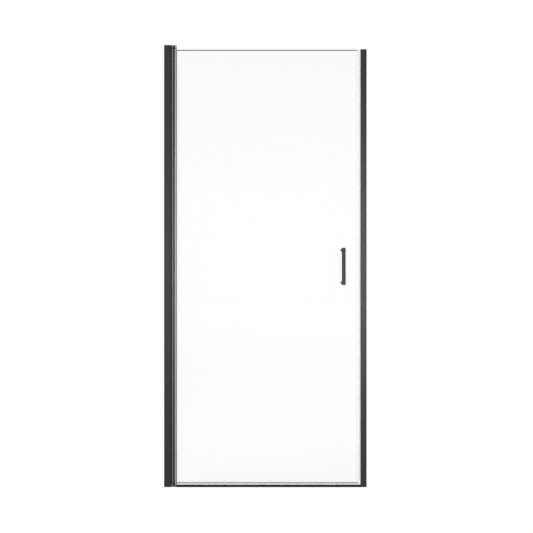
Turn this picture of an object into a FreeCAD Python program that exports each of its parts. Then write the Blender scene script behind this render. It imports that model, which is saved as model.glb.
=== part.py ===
import FreeCAD, Part
import math
import os
import re
import Sketcher

# Pivot shower door for an alcove, closed. The front, with the handle, faces -Y, the glass stands in
# the plane y = 0, the shower tray is z = 0 and x = 0 is halfway between the two walls.

# Driving dimensions in millimetres.
SIZES = {
    # Opening and frame.
    "opening_width": 838,
    "frame_height": 1829,
    "frame_depth": 20,
    "strike_drop": 17.5,
    # Wall profiles: U-shaped channels, screwed to the walls through their webs.
    "channel_wall": 1.6,
    "channel_edge_radius": 0.8,
    "hinge_channel_width": 29,
    "strike_channel_width": 24.4,
    "wall_screw_radius": 2.6,
    "wall_screw_inset": 150,
    "slide_clearance": 0.4,
    "cut_overrun": 1,
    # Hinge post: slides in its wall profile, and its cove takes the barrel of the door rail.
    "post_wall": 1.6,
    "post_tail": 10,
    "post_shoulder": 28,
    "post_web": 3,
    "cove_clearance": 0.5,
    "cove_tip_rise": 3.5,
    "wiper_width": 3,
    "wiper_depth": 2,
    "wiper_fit": 0.05,
    "wiper_gap": 0.3,
    "port_setback": 16.5,
    "port_radius": 3.6,
    # Pivot blocks at both ends of the post, with their pins.
    "pivot_setback": 38,
    "pivot_block_height": 11.5,
    "pivot_block_tail": 12,
    "pivot_block_step": 0.5,
    "pivot_nose_reach": 12.6,
    "pin_radius": 3,
    "pin_chamfer": 0.6,
    "pin_seat_depth": 9.5,
    "pin_reach": 12,
    "pin_seat_fit": 0.02,
    "pin_running_fit": 0.05,
    "block_screw_radius": 1.75,
    "block_screw_grip": 10,
    "block_screw_head": 2.4,
    "block_screw_head_radius": 2.8,
    "screw_fit": 0.05,
    "head_clearance": 0.3,
    "profile_cap": 3,
    "profile_cap_fit": 0.2,
    # Screws that lock post and insert in their wall profiles, inside the shower.
    "lock_screw_radius": 2,
    "lock_screw_head": 2,
    "lock_screw_head_radius": 3.4,
    "lock_screw_reach": 3,
    "lock_screw_inset": 300,
    "hinge_lock_setback": 22.5,
    "strike_lock_setback": 11,
    "lock_cap_radius": 4.6,
    "lock_cap_height": 3.2,
    "lock_cap_wall": 0.7,
    # Door rail: a round barrel with a flat along each side and two jaws for the glass.
    "rail_radius": 8.4,
    "rail_flat_start": 6.4,
    "rail_flat_end": 2.4,
    "rail_slot_start": 6,
    "jaw_wall": 2.8,
    "jaw_reach": 11.4,
    "bush_radius": 4.4,
    "bush_flange": 2.6,
    "bush_flange_radius": 6.2,
    "bush_length": 14,
    "bush_fit": 0.02,
    "thrust_gap": 0.2,
    # Glazing gaskets, hooked over the jaws.
    "grip_leg": 1,
    "grip_cover": 1.2,
    "grip_cover_start": 6.2,
    "grip_bevel_start": 11.2,
    "grip_reach": 13.6,
    "grip_nose": 2.4,
    "setting_block": 1,
    "setting_block_length": 60,
    "setting_block_inset": 220,
    # Glass leaf.
    "glass_thickness": 6,
    "glass_arris": 0.5,
    "glass_bottom": 13,
    "glass_top_drop": 17.2,
    # Magnetic seals on the leaf and in the strike profile.
    "seal_gap": 0.6,
    "door_seal_reach": 9.5,
    "door_seal_grip": 9,
    "door_seal_leg": 1,
    "door_seal_shoulder": 0.6,
    "seal_face": 1,
    "magnet_depth": 5.6,
    "magnet_breadth": 6.8,
    "magnet_fit": 0.1,
    "insert_wall": 1.6,
    "insert_tail": 6,
    "insert_web_setback": 14,
    "insert_reach": 22,
    "strike_seal_base": 1.4,
    "strike_seal_half": 5,
    "strike_seal_recess": 0.2,
    # Drip seal under the glass.
    "drip_leg": 1,
    "drip_grip": 10,
    "drip_floor": 1.2,
    "drip_start_gap": 1.4,
    "drip_end_gap": 1.1,
    "fin_thickness": 1.4,
    "fin_gap": 0.4,
    "deflector_reach": 6,
    "deflector_drop": 5,
    "deflector_thickness": 1.4,
    "deflector_rise": 2,
    # Threshold.
    "threshold_height": 6.6,
    "threshold_edge_radius": 2.4,
    "threshold_flat_end": 2,
    "threshold_rear_rise": 3,
    "threshold_start_gap": 0.8,
    "threshold_end_gap": 0.3,
    "tape_half_width": 6,
    "tape_thickness": 1.5,
    # Pull handle: a round bar with flat ends on two feet, screwed on through the glass.
    "handle_inset": 63.8,
    "handle_height": 913,
    "handle_radius": 7.8,
    "handle_length": 152,
    "handle_end_edge": 0.5,
    "handle_foot_inset": 8.5,
    "handle_standoff": 37.5,
    "handle_foot_radius": 7.3,
    "handle_hole_radius": 6,
    "handle_washer": 1,
    "handle_washer_radius": 7.8,
    "handle_sleeve_fit": 0.1,
    "handle_screw_radius": 3,
    "handle_screw_reach": 14,
    "handle_screw_head": 2.5,
    "handle_screw_head_radius": 5.6,
    "handle_cap_radius": 8,
    "handle_cap_height": 5.5,
    "handle_cap_wall": 1.2,
}
WALL_SCREW_COUNT = 4
LOCK_SCREW_COUNT = 3
SETTING_BLOCK_COUNT = 3

# Sizes that several pieces share, worked out from the driving ones.
LEFT_WALL = "(-opening_width / 2)"
RIGHT_WALL = "(opening_width / 2)"
HALF_DEPTH = "(frame_depth / 2)"
STRIKE_HEIGHT = "(frame_height - strike_drop)"
SLIDE_HALF = "(frame_depth / 2 - channel_wall - slide_clearance)"
GLASS_HALF = "(glass_thickness / 2)"
PIVOT_X = f"({LEFT_WALL} + pivot_setback)"
COVE_RADIUS = "(rail_radius + cove_clearance)"
FLAT_START_RISE = "sqrt(rail_radius^2 - rail_flat_start^2)"
FLAT_END_RISE = "sqrt(rail_radius^2 - rail_flat_end^2)"
PORT_RISE = f"({SLIDE_HALF} - port_radius)"
PORT_BORE = "(block_screw_radius + screw_fit)"
JAW_INNER = f"({GLASS_HALF} + grip_leg)"
JAW_OUTER = f"({JAW_INNER} + jaw_wall)"
JAW_ROOT = f"sqrt(rail_radius^2 - {JAW_OUTER}^2)"
GRIP_FACE = f"({JAW_OUTER} + grip_cover)"
RAIL_BOTTOM = "(pivot_block_height + thrust_gap + bush_flange)"
RAIL_LENGTH = f"(frame_height - 2 * {RAIL_BOTTOM})"
GLASS_LEFT = f"({PIVOT_X} + rail_slot_start + setting_block)"
GLASS_RIGHT = f"({RIGHT_WALL} - strike_channel_width - seal_gap - door_seal_reach)"
GLASS_TOP = "(frame_height - glass_top_drop)"
MAGNET_CELL_DEPTH = "(magnet_depth + 2 * magnet_fit)"
MAGNET_CELL_HALF = "(magnet_breadth / 2 + magnet_fit)"
DOOR_SEAL_BOTTOM = "(glass_bottom + drip_grip + drip_start_gap)"
DOOR_SEAL_LENGTH = f"({GLASS_TOP} - {DOOR_SEAL_BOTTOM})"
INSERT_LENGTH = f"({STRIKE_HEIGHT} - profile_cap - profile_cap_fit)"
HANDLE_X = f"({GLASS_RIGHT} - handle_inset)"
HALF_SPACING = "(handle_length / 2 - handle_foot_inset)"

UPSIDE_DOWN = FreeCAD.Rotation(FreeCAD.Vector(1, 0, 0), 180)
TURNED_ABOUT = FreeCAD.Rotation(FreeCAD.Vector(0, 0, 1), 180)
POST_ENDS = (("bottom", "0", FreeCAD.Rotation()), ("top", "frame_height", UPSIDE_DOWN))

TOLERANCE = 1e-6
START, END, CENTRE = range(1, 4)
HORIZONTAL_AXIS, VERTICAL_AXIS = range(-1, -3, -1)
ORIGIN = (HORIZONTAL_AXIS, START)

document = FreeCAD.newDocument("ShowerDoor")
sheet = document.addObject("Spreadsheet::Sheet", "Sizes")
for row, (size_name, size_value) in enumerate(SIZES.items(), start=1):
    sheet.set(f"A{row}", str(size_value))
    sheet.setAlias(f"A{row}", size_name)
document.recompute()

nodes = []
cuts = []


def formula(text):
    """Size expression with each size name pointed at the sheet."""
    return re.sub(r"[a-z][a-z_]*", lambda word: f"Sizes.{word[0]}" if word[0] in SIZES else word[0], text)


def number(text):
    """Present value of a size expression."""
    return float(sheet.evalExpression(formula(text)))


def bind(item, name, text):
    """Tie one property to a size expression."""
    item.setExpression(name, formula(text))


def new_body(label, x="0", y="0", z="0", rotation=FreeCAD.Rotation()):
    """Empty body with its own frame in the door."""
    body = document.addObject("PartDesign::Body", label)
    body.Label = label
    body.Placement = FreeCAD.Placement(FreeCAD.Vector(), rotation)
    for axis, text in zip("xyz", (x, y, z)):
        bind(body, f"Placement.Base.{axis}", text)
    return body


def new_sketch(body, plane, offset="0"):
    """Sketch on one of the body's own planes, moved along the plane's normal by the offset."""
    sketch = body.newObject("Sketcher::SketchObject", f"{body.Name}_{plane}")
    support = next(feature for feature in body.Origin.OriginFeatures if feature.Role == plane)
    sketch.AttachmentSupport = [(support, "")]
    sketch.MapMode = "FlatFace"
    bind(sketch, "AttachmentOffset.Base.z", offset)
    return sketch


def dimension(sketch, kind, text, *places):
    """Dimension that follows a size expression."""
    index = sketch.addConstraint(Sketcher.Constraint(kind, *places, number(text)))
    sketch.renameConstraint(index, f"size{index}")
    bind(sketch, f"Constraints.size{index}", text)


def pin_point(sketch, geometry, point, x, y):
    """Fix one point of a curve; a plain zero ties it to the sketch's axis."""
    for kind, text, axis in (("DistanceX", x, VERTICAL_AXIS), ("DistanceY", y, HORIZONTAL_AXIS)):
        if text == "0":
            sketch.addConstraint(Sketcher.Constraint("PointOnObject", geometry, point, axis))
        else:
            dimension(sketch, kind, text, *ORIGIN, geometry, point)


def arc_between(start, end, radius, turn):
    """Arc of less than half a circle, to the left for turn 1 and to the right for turn -1."""
    chord = end - start
    rise = math.sqrt(max(radius ** 2 - (chord.Length / 2) ** 2, 0))
    left = FreeCAD.Vector(-chord.y, chord.x, 0).normalize()
    centre = (start + end) / 2 + left * rise * turn
    angles = [math.atan2(point.y - centre.y, point.x - centre.x) for point in (start, end)[::turn]]
    return Part.ArcOfCircle(Part.Circle(centre, FreeCAD.Vector(0, 0, 1), radius), *angles)


def outline(sketch, corners):
    """Closed outline through corners (x, y); (x, y, radius, turn) starts an arc to the next corner."""
    places = [FreeCAD.Vector(number(corner[0]), number(corner[1]), 0) for corner in corners]
    edges = []
    for (_, _, *bend), start, end in zip(corners, places, places[1:] + places[:1]):
        radius, turn = bend or (None, 1)
        if bend:
            curve = arc_between(start, end, number(radius), turn)
        else:
            curve = Part.LineSegment(start, end)
        geometry = sketch.addGeometry(curve, False)
        edges.append((geometry, *(START, END)[::turn]))
        if bend:
            dimension(sketch, "Radius", radius, geometry)
    for before, after in zip(edges, edges[1:] + edges[:1]):
        sketch.addConstraint(Sketcher.Constraint("Coincident", before[0], before[2], after[0], after[1]))
    for (geometry, first, _), corner in zip(edges, corners):
        pin_point(sketch, geometry, first, corner[0], corner[1])


def rectangle(sketch, left, bottom, right, top):
    """Rectangle between two corners."""
    outline(sketch, [(left, bottom), (right, bottom), (right, top), (left, top)])


def circle(sketch, x, y, radius):
    """Circle about a point."""
    curve = Part.Circle(FreeCAD.Vector(number(x), number(y), 0), FreeCAD.Vector(0, 0, 1), number(radius))
    geometry = sketch.addGeometry(curve, False)
    pin_point(sketch, geometry, CENTRE, x, y)
    dimension(sketch, "Radius", radius, geometry)


def minus(text):
    """The same size, measured the other way."""
    return f"-({text})"


def spaced(length, inset, index, count):
    """Place of one of a row of equally spaced points, the outer two at an inset from the ends."""
    return f"({inset} + ({length} - 2 * {inset}) * {index} / {count - 1})"


def mirrored(corners, closing_arc=()):
    """Upper half of an outline with its mirror image below the axis added, so that it closes."""
    images = []
    for index in reversed(range(len(corners))):
        arc = corners[index - 1][2:] if index else closing_arc
        images.append((corners[index][0], minus(corners[index][1]), *arc))
    return corners + images


def pad(body, sketch, length, both_ways=False):
    """Extrude a sketch along its normal."""
    feature = body.newObject("PartDesign::Pad", f"{body.Name}_pad")
    feature.Profile = sketch
    feature.SideType = "Symmetric" if both_ways else "One side"
    bind(feature, "Length", length)
    return feature


def pocket(body, sketch, depth):
    """Cut a sketch's outlines out, along its normal."""
    feature = body.newObject("PartDesign::Pocket", f"{body.Name}_pocket")
    feature.Profile = sketch
    feature.Reversed = True
    bind(feature, "Length", depth)
    cuts.append(feature)
    return feature


def revolve(body, sketch):
    """Turn a half outline about the sketch's vertical axis."""
    feature = body.newObject("PartDesign::Revolution", f"{body.Name}_turn")
    feature.Profile = sketch
    feature.ReferenceAxis = (sketch, ["V_Axis"])
    return feature


def edges_where(feature, test):
    """Names of the feature's edges that pass a test."""
    document.recompute()
    return [f"Edge{index}" for index, edge in enumerate(feature.Shape.Edges, start=1) if test(edge)]


def group(label, bodies):
    """One node of separate identical pieces."""
    compound = document.addObject("Part::Compound", label)
    compound.Label = label
    compound.Links = bodies
    nodes.append(compound)


def drill_lock_holes(body, setback, height, floor="0", turned=False):
    """Row of lock screw holes through the side that faces into the shower."""
    holes = new_sketch(body, "XZ_Plane")
    for index in range(LOCK_SCREW_COUNT):
        rise = spaced(height, "lock_screw_inset", index, LOCK_SCREW_COUNT)
        circle(holes, setback, f"{rise} - {floor}", "lock_screw_radius + screw_fit")
    pocket(body, holes, f"{HALF_DEPTH} + cut_overrun").Reversed = turned


def wall_channel(label, wall, width, height, lock_setback, rotation=FreeCAD.Rotation(), turned=False):
    """U-shaped wall profile, with wall screw holes in its web and lock screw holes in its rear leg."""
    body = new_body(label, x=wall, rotation=rotation)
    inner = f"{HALF_DEPTH} - channel_wall"
    section = new_sketch(body, "XY_Plane")
    outline(section, mirrored([
        ("0", HALF_DEPTH),
        (f"{width} - channel_edge_radius", HALF_DEPTH, "channel_edge_radius", -1),
        (width, f"{HALF_DEPTH} - channel_edge_radius"),
        (width, inner),
        ("channel_wall", inner),
    ]))
    pad(body, section, height)
    wall_holes = new_sketch(body, "YZ_Plane")
    for index in range(WALL_SCREW_COUNT):
        rise = spaced(height, "wall_screw_inset", index, WALL_SCREW_COUNT)
        circle(wall_holes, "0", rise, "wall_screw_radius")
    pocket(body, wall_holes, "channel_wall + cut_overrun")
    drill_lock_holes(body, lock_setback, height, turned=turned)
    nodes.append(body)


def hinge_post():
    """Post with a cove for the barrel, a slot for the wiper and two screw ports for the pivot blocks."""
    body = new_body("hinge_post", x=LEFT_WALL, z="pivot_block_height")
    length = "frame_height - 2 * pivot_block_height"
    web = f"pivot_setback - {COVE_RADIUS} - post_web"
    section = new_sketch(body, "XY_Plane")
    outline(section, mirrored([
        (web, f"{SLIDE_HALF} - 3 * post_wall"),
        (f"{web} - post_wall", f"{SLIDE_HALF} - post_wall"),
        ("post_tail", f"{SLIDE_HALF} - post_wall"),
        ("post_tail", SLIDE_HALF),
        ("post_shoulder", SLIDE_HALF),
        (f"pivot_setback - sqrt({COVE_RADIUS}^2 - cove_tip_rise^2)", "cove_tip_rise", COVE_RADIUS, 1),
    ]))
    pad(body, section, length)
    ports = new_sketch(body, "XY_Plane")
    bores = new_sketch(body, "XY_Plane")
    for rise in (PORT_RISE, minus(PORT_RISE)):
        circle(ports, "port_setback", rise, "port_radius")
        circle(bores, "port_setback", rise, PORT_BORE)
    pad(body, ports, length)
    pocket(body, bores, length)
    slot = new_sketch(body, "XY_Plane")
    floor = f"pivot_setback - {COVE_RADIUS}"
    rectangle(slot, f"{floor} - wiper_depth", "-wiper_width / 2", f"{floor} + cut_overrun", "wiper_width / 2")
    pocket(body, slot, length)
    drill_lock_holes(body, "hinge_lock_setback", "frame_height", floor="pivot_block_height")
    nodes.append(body)


def post_wiper_seal():
    """Strip in the slot of the cove, with a crown that bears on the barrel."""
    body = new_body("post_wiper_seal", x=PIVOT_X, z="pivot_block_height")
    base = f"-({COVE_RADIUS} + wiper_depth - wiper_fit)"
    half = "(wiper_width / 2 - wiper_fit)"
    crown = "(cove_clearance - wiper_gap)"
    section = new_sketch(body, "XY_Plane")
    outline(section, [
        (base, minus(half)),
        (minus(COVE_RADIUS), minus(half), f"({half}^2 + {crown}^2) / (2 * {crown})", 1),
        (minus(COVE_RADIUS), half),
        (base, half),
    ])
    pad(body, section, "frame_height - 2 * pivot_block_height")
    nodes.append(body)


def pivot_block(label, z, rotation):
    """Block at one end of the post, its nose shaped like the rail; its outer end is at local z = 0."""
    body = new_body(label, x=LEFT_WALL, z=z, rotation=rotation)
    neck = "(hinge_channel_width + pivot_block_step)"
    section = new_sketch(body, "XY_Plane")
    outline(section, mirrored([
        ("pivot_block_tail", SLIDE_HALF),
        (neck, SLIDE_HALF),
        (neck, FLAT_START_RISE),
        ("pivot_setback - rail_flat_start", FLAT_START_RISE),
        ("pivot_setback - rail_flat_end", FLAT_END_RISE, "rail_radius", -1),
        (f"pivot_setback + {JAW_ROOT}", JAW_OUTER),
        ("pivot_setback + pivot_nose_reach", JAW_OUTER),
    ]))
    pad(body, section, "pivot_block_height")
    seat = new_sketch(body, "XY_Plane", offset="pivot_block_height - pin_seat_depth")
    circle(seat, "pivot_setback", "0", "pin_radius + pin_seat_fit")
    pocket(body, seat, "pin_seat_depth + cut_overrun")
    holes = new_sketch(body, "XY_Plane")
    sinks = new_sketch(body, "XY_Plane")
    for rise in (PORT_RISE, minus(PORT_RISE)):
        circle(holes, "port_setback", rise, "block_screw_radius + head_clearance")
        circle(sinks, "port_setback", rise, "block_screw_head_radius + head_clearance")
    pocket(body, holes, "pivot_block_height + cut_overrun")
    pocket(body, sinks, "block_screw_head + head_clearance")
    nodes.append(body)


def pivot_nose_trims():
    """Grey covers on the blocks' noses, in line with the gaskets; the lower ones clear the sill."""
    bodies = []
    for end, z, rotation in POST_ENDS:
        foot = "threshold_height + fin_gap" if end == "bottom" else "0"
        for side in (str, minus):
            body = new_body("nose_trim", PIVOT_X, "0", z, rotation)
            section = new_sketch(body, "XY_Plane", offset=foot)
            outline(section, [
                ("grip_cover_start", side(JAW_OUTER)),
                ("pivot_nose_reach", side(JAW_OUTER)),
                ("grip_bevel_start", side(GRIP_FACE)),
                ("grip_cover_start", side(GRIP_FACE)),
            ])
            pad(body, section, f"pivot_block_height - ({foot})")
            bodies.append(body)
    group("pivot_nose_trims", bodies)


def pivot_pin(label, z, rotation):
    """Steel pin from its seat in the block up into the bush."""
    body = new_body(label, x=PIVOT_X, z=z, rotation=rotation)
    top = f"{RAIL_BOTTOM} + pin_reach"
    section = new_sketch(body, "XZ_Plane")
    outline(section, [
        ("0", "pivot_block_height - pin_seat_depth"),
        ("pin_radius", "pivot_block_height - pin_seat_depth"),
        ("pin_radius", f"{top} - pin_chamfer"),
        ("pin_radius - pin_chamfer", top),
        ("0", top),
    ])
    revolve(body, section)
    nodes.append(body)


def rail_bush(label, z, rotation):
    """Flanged nylon bush in one end of the rail's bore; the flange runs on the pivot block."""
    body = new_body(label, x=PIVOT_X, z=z, rotation=rotation)
    under = f"{RAIL_BOTTOM} - bush_flange"
    section = new_sketch(body, "XZ_Plane")
    outline(section, [
        ("pin_radius + pin_running_fit", under),
        ("bush_flange_radius", under),
        ("bush_flange_radius", RAIL_BOTTOM),
        ("bush_radius", RAIL_BOTTOM),
        ("bush_radius", f"{RAIL_BOTTOM} + bush_length"),
        ("pin_radius + pin_running_fit", f"{RAIL_BOTTOM} + bush_length"),
    ])
    revolve(body, section)
    nodes.append(body)


def pivot_block_screws():
    """Screws through the pivot blocks into the ports of the post."""
    bodies = []
    for _, z, rotation in POST_ENDS:
        for rise in (PORT_RISE, minus(PORT_RISE)):
            body = new_body("block_screw", f"{LEFT_WALL} + port_setback", rise, z, rotation)
            section = new_sketch(body, "XZ_Plane")
            outline(section, [
                ("0", "head_clearance"),
                ("block_screw_head_radius", "head_clearance"),
                ("block_screw_head_radius", "head_clearance + block_screw_head"),
                ("block_screw_radius", "head_clearance + block_screw_head"),
                ("block_screw_radius", "pivot_block_height + block_screw_grip"),
                ("0", "pivot_block_height + block_screw_grip"),
            ])
            revolve(body, section)
            bodies.append(body)
    group("pivot_block_screws", bodies)


def profile_cap(label, wall, height, start, end, rotation=FreeCAD.Rotation()):
    """Plug flush with the top of a wall profile, between its web and what it holds."""
    body = new_body(label, x=wall, z=f"{height} - profile_cap", rotation=rotation)
    half = f"{HALF_DEPTH} - channel_wall - profile_cap_fit"
    section = new_sketch(body, "XY_Plane")
    rectangle(section, start, minus(half), end, half)
    pad(body, section, "profile_cap")
    nodes.append(body)


def lock_screw_places():
    """Places of the lock screws, as x and z, on both uprights."""
    for x, height in (
        (f"{LEFT_WALL} + hinge_lock_setback", "frame_height"),
        (f"{RIGHT_WALL} - strike_lock_setback", STRIKE_HEIGHT),
    ):
        for index in range(LOCK_SCREW_COUNT):
            yield x, spaced(height, "lock_screw_inset", index, LOCK_SCREW_COUNT)


def frame_lock_screws():
    """Screws that lock post and insert in their wall profiles."""
    bodies = []
    tip = minus("channel_wall + slide_clearance + post_wall + lock_screw_reach")
    for x, z in lock_screw_places():
        body = new_body("lock_screw", x, HALF_DEPTH, z)
        section = new_sketch(body, "XY_Plane")
        outline(section, [
            ("0", tip),
            ("lock_screw_radius", tip),
            ("lock_screw_radius", "0"),
            ("lock_screw_head_radius", "0"),
            ("lock_screw_head_radius", "lock_screw_head"),
            ("0", "lock_screw_head"),
        ])
        revolve(body, section)
        bodies.append(body)
    group("frame_lock_screws", bodies)


def screw_cover(label, x, y, z, radius, height, wall):
    """Round cover with a bevelled rim and a hollow for a screw head, opening towards -Y."""
    body = new_body(label, x, y, z)
    section = new_sketch(body, "XY_Plane")
    outline(section, [
        (f"{radius} - {wall}", "0"),
        (radius, "0"),
        (radius, f"{height} - {wall}"),
        (f"{radius} - {wall}", height),
        ("0", height),
        ("0", f"{height} - {wall}"),
        (f"{radius} - {wall}", f"{height} - {wall}"),
    ])
    revolve(body, section)
    return body


def frame_screw_caps():
    """Snap-on covers over the lock screw heads."""
    group("frame_screw_caps", [
        screw_cover("lock_cap", x, HALF_DEPTH, z, "lock_cap_radius", "lock_cap_height", "lock_cap_wall")
        for x, z in lock_screw_places()
    ])


def door_rail():
    """Extruded rail: a bored barrel about the pivot axis and two jaws that take the glass."""
    body = new_body("door_rail", x=PIVOT_X, z=RAIL_BOTTOM)
    section = new_sketch(body, "XY_Plane")
    outline(section, mirrored([
        ("-rail_flat_start", FLAT_START_RISE),
        ("-rail_flat_end", FLAT_END_RISE, "rail_radius", -1),
        (JAW_ROOT, JAW_OUTER),
        ("jaw_reach", JAW_OUTER),
        ("jaw_reach", JAW_INNER),
        ("rail_slot_start", JAW_INNER),
    ], ("rail_radius", -1)))
    circle(section, "0", "0", "bush_radius + bush_fit")
    pad(body, section, RAIL_LENGTH)
    nodes.append(body)


def grip_gasket(label, side):
    """Glazing gasket on one face of the glass, hooked over the jaw with a bevelled cover lip."""
    body = new_body(label, x=PIVOT_X, z=RAIL_BOTTOM)
    corners = [
        ("rail_slot_start + setting_block", GLASS_HALF),
        ("grip_reach", GLASS_HALF),
        ("grip_reach", f"{GLASS_HALF} + grip_nose"),
        ("grip_bevel_start", GRIP_FACE),
        ("grip_cover_start", GRIP_FACE),
        ("grip_cover_start", JAW_OUTER),
        ("jaw_reach", JAW_OUTER),
        ("jaw_reach", JAW_INNER),
        ("rail_slot_start + setting_block", JAW_INNER),
    ]
    section = new_sketch(body, "XY_Plane")
    outline(section, [(x, side(y)) for x, y in corners])
    pad(body, section, RAIL_LENGTH)
    nodes.append(body)


def glass_setting_blocks():
    """Blocks at the bottom of the rail's slot, against the edge of the glass."""
    bodies = []
    for index in range(SETTING_BLOCK_COUNT):
        z = spaced("frame_height", "setting_block_inset", index, SETTING_BLOCK_COUNT)
        body = new_body("setting_block", f"{PIVOT_X} + rail_slot_start", "0", z)
        section = new_sketch(body, "XY_Plane")
        rectangle(section, "0", minus(GLASS_HALF), "setting_block", GLASS_HALF)
        pad(body, section, "setting_block_length", both_ways=True)
        bodies.append(body)
    group("glass_setting_blocks", bodies)


def glass_panel():
    """Toughened glass leaf with two handle holes and ground edges."""
    body = new_body("glass_panel")
    face = new_sketch(body, "XZ_Plane")
    rectangle(face, GLASS_LEFT, "glass_bottom", GLASS_RIGHT, GLASS_TOP)
    for rise in (HALF_SPACING, minus(HALF_SPACING)):
        circle(face, HANDLE_X, f"handle_height + {rise}", "handle_hole_radius")
    slab = pad(body, face, "glass_thickness", both_ways=True)
    flat = edges_where(slab, lambda edge: len(edge.Vertexes) == 2 and edge.BoundBox.YLength < TOLERANCE)
    arris = body.newObject("PartDesign::Chamfer", "glass_arris")
    arris.Base = (slab, flat)
    bind(arris, "Size", "glass_arris")
    nodes.append(body)


def magnet_cell(section, end):
    """Cell for a magnet strip in the outline of a seal, up to a given x."""
    half = MAGNET_CELL_HALF
    rectangle(section, f"{end} - {MAGNET_CELL_DEPTH}", minus(half), end, half)


def door_magnet_seal():
    """Clear jacket on the closing edge of the glass, with a cell for the magnet strip."""
    body = new_body("door_magnet_seal", x=GLASS_RIGHT, z=DOOR_SEAL_BOTTOM)
    leg = f"({GLASS_HALF} + door_seal_leg)"
    face = f"({leg} + door_seal_shoulder)"
    section = new_sketch(body, "XY_Plane")
    outline(section, mirrored([
        ("0", GLASS_HALF),
        ("-door_seal_grip", GLASS_HALF),
        ("-door_seal_grip", leg),
        ("door_seal_leg", leg),
        ("door_seal_leg", face),
        ("door_seal_reach", face),
    ]))
    magnet_cell(section, "door_seal_reach - seal_face")
    pad(body, section, DOOR_SEAL_LENGTH)
    nodes.append(body)


def magnet(label, x, z, length, rotation=FreeCAD.Rotation()):
    """Magnet strip, its face at local x = 0 towards the other seal."""
    body = new_body(label, x=x, z=z, rotation=rotation)
    section = new_sketch(body, "XY_Plane")
    rectangle(section, "-magnet_depth", "-magnet_breadth / 2", "0", "magnet_breadth / 2")
    pad(body, section, length)
    nodes.append(body)


def strike_insert():
    """H-shaped insert in the strike profile, whose front cup holds the magnetic seal."""
    body = new_body("strike_insert", x=RIGHT_WALL, rotation=TURNED_ABOUT)
    inner = f"({SLIDE_HALF} - insert_wall)"
    section = new_sketch(body, "XY_Plane")
    outline(section, mirrored([
        ("insert_web_setback", inner),
        ("insert_tail", inner),
        ("insert_tail", SLIDE_HALF),
        ("insert_reach", SLIDE_HALF),
        ("insert_reach", inner),
        ("insert_web_setback + insert_wall", inner),
    ]))
    pad(body, section, INSERT_LENGTH)
    drill_lock_holes(body, "strike_lock_setback", STRIKE_HEIGHT, turned=True)
    nodes.append(body)


def strike_magnet_seal():
    """Seal in the cup of the insert, with a cell for its magnet strip."""
    body = new_body("strike_magnet_seal", x=RIGHT_WALL, rotation=TURNED_ABOUT)
    base = "insert_web_setback + insert_wall"
    inner = f"({SLIDE_HALF} - insert_wall)"
    front = "strike_channel_width - strike_seal_recess"
    section = new_sketch(body, "XY_Plane")
    outline(section, mirrored([
        (base, inner),
        (f"{base} + strike_seal_base", inner),
        (f"{base} + strike_seal_base", "strike_seal_half"),
        (front, "strike_seal_half"),
    ]))
    magnet_cell(section, f"{front} - seal_face")
    pad(body, section, INSERT_LENGTH)
    nodes.append(body)


def drip_seal():
    """Clear jacket under the glass, with a fin down to the threshold and a deflector into the shower."""
    body = new_body("drip_seal", x=f"{PIVOT_X} + grip_reach + drip_start_gap", z="glass_bottom")
    outer = f"({GLASS_HALF} + drip_leg)"
    drop = "-(glass_bottom - threshold_height - fin_gap)"
    tip = f"{outer} + deflector_reach"
    section = new_sketch(body, "YZ_Plane")
    outline(section, [
        (minus(GLASS_HALF), "0"),
        (minus(GLASS_HALF), "drip_grip"),
        (minus(outer), "drip_grip"),
        (minus(outer), drop),
        (f"fin_thickness - {outer}", drop),
        (f"fin_thickness - {outer}", "-drip_floor"),
        (outer, "-drip_floor"),
        (outer, "deflector_rise - deflector_thickness"),
        (tip, "deflector_rise - deflector_thickness - deflector_drop"),
        (tip, "deflector_rise - deflector_drop"),
        (outer, "deflector_rise"),
        (outer, "drip_grip"),
        (GLASS_HALF, "drip_grip"),
        (GLASS_HALF, "0"),
    ])
    start = "(pivot_setback + grip_reach + drip_start_gap)"
    pad(body, section, f"opening_width - {start} - strike_channel_width - drip_end_gap")
    nodes.append(body)


def threshold_start():
    """Distance of the threshold's left end from the left wall."""
    return "(pivot_setback + pivot_nose_reach + threshold_start_gap)"


def threshold_bar():
    """Low sill with a rounded front edge, a fall towards the shower and a groove for sealing tape."""
    body = new_body("threshold_bar", x=f"{LEFT_WALL} + {threshold_start()}")
    section = new_sketch(body, "YZ_Plane")
    outline(section, [
        (minus(HALF_DEPTH), "0"),
        ("-tape_half_width", "0"),
        ("-tape_half_width", "tape_thickness"),
        ("tape_half_width", "tape_thickness"),
        ("tape_half_width", "0"),
        (HALF_DEPTH, "0"),
        (HALF_DEPTH, "threshold_rear_rise"),
        ("threshold_flat_end", "threshold_height"),
        (f"threshold_edge_radius - {HALF_DEPTH}", "threshold_height", "threshold_edge_radius", 1),
        (minus(HALF_DEPTH), "threshold_height - threshold_edge_radius"),
    ])
    pad(body, section, f"opening_width - {threshold_start()} - strike_channel_width - threshold_end_gap")
    nodes.append(body)


def threshold_tape():
    """Sealing tape in the groove under the threshold."""
    body = new_body("threshold_tape", x=f"{LEFT_WALL} + {threshold_start()}")
    section = new_sketch(body, "YZ_Plane")
    rectangle(section, "-tape_half_width", "0", "tape_half_width", "tape_thickness")
    pad(body, section, f"opening_width - {threshold_start()} - strike_channel_width - threshold_end_gap")
    nodes.append(body)


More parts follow.
